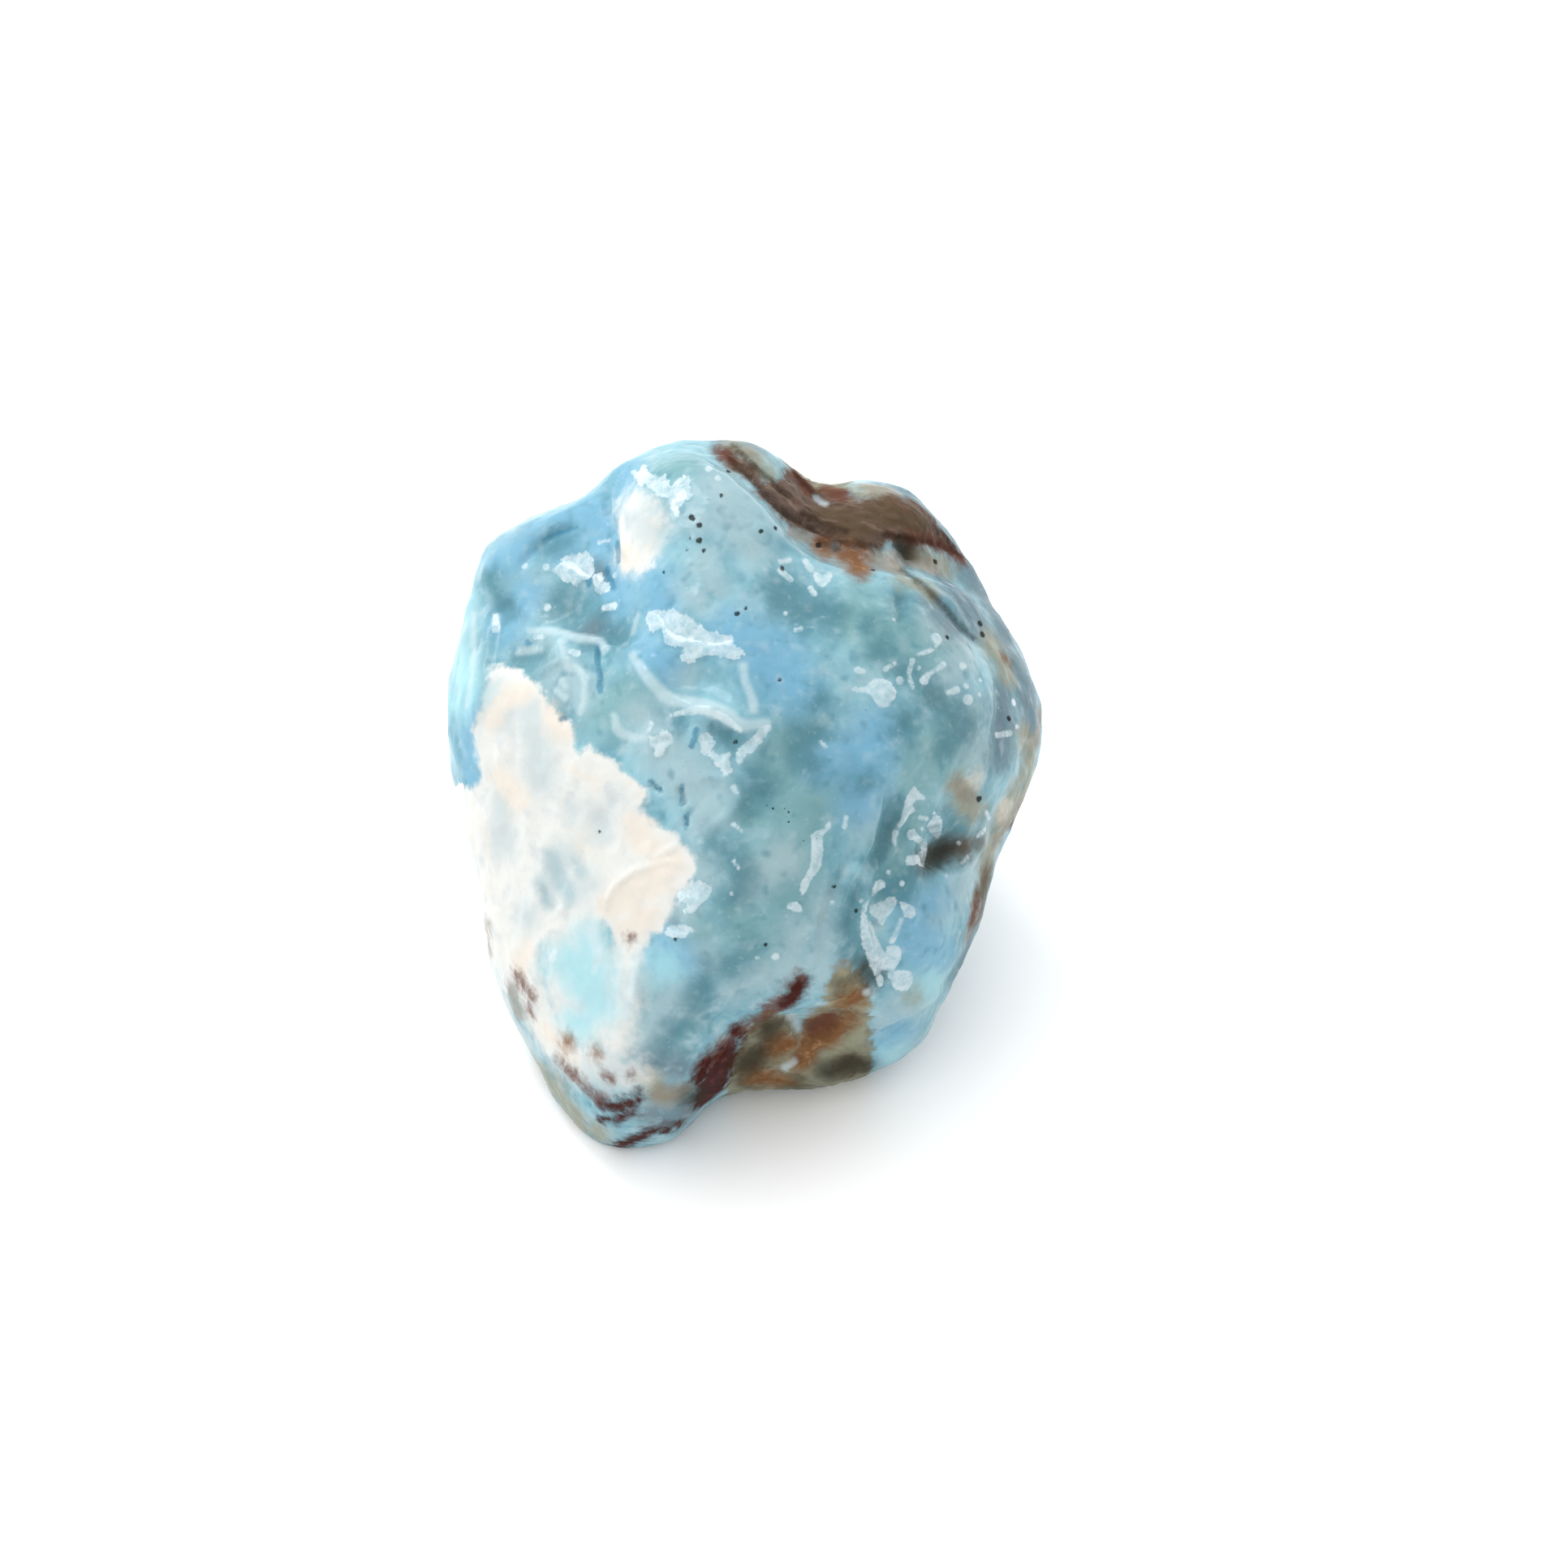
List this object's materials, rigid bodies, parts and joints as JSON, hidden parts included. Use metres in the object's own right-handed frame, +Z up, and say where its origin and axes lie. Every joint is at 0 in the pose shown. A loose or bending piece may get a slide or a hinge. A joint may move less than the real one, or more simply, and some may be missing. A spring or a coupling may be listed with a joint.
{
  "type": "raw larimar",
  "caption": "Water-worn lump of raw blue larimar with a domed crown, a narrow foot, a white chalky patch, brown host-rock seams and a flat break to rest on.",
  "frame": {"origin": "middle of the stone's box, on the surface that it rests on", "axes": "+Z up, square to the flat break underneath; the broad face leans back from the viewer and faces -Y and up"},
  "size_m": [0.0372, 0.0396, 0.0357],
  "materials": {
    "larimar": "gloss"
  },
  "bodies": {
    "root": {"larimar_stone": "larimar"}
  },
  "joints": []
}
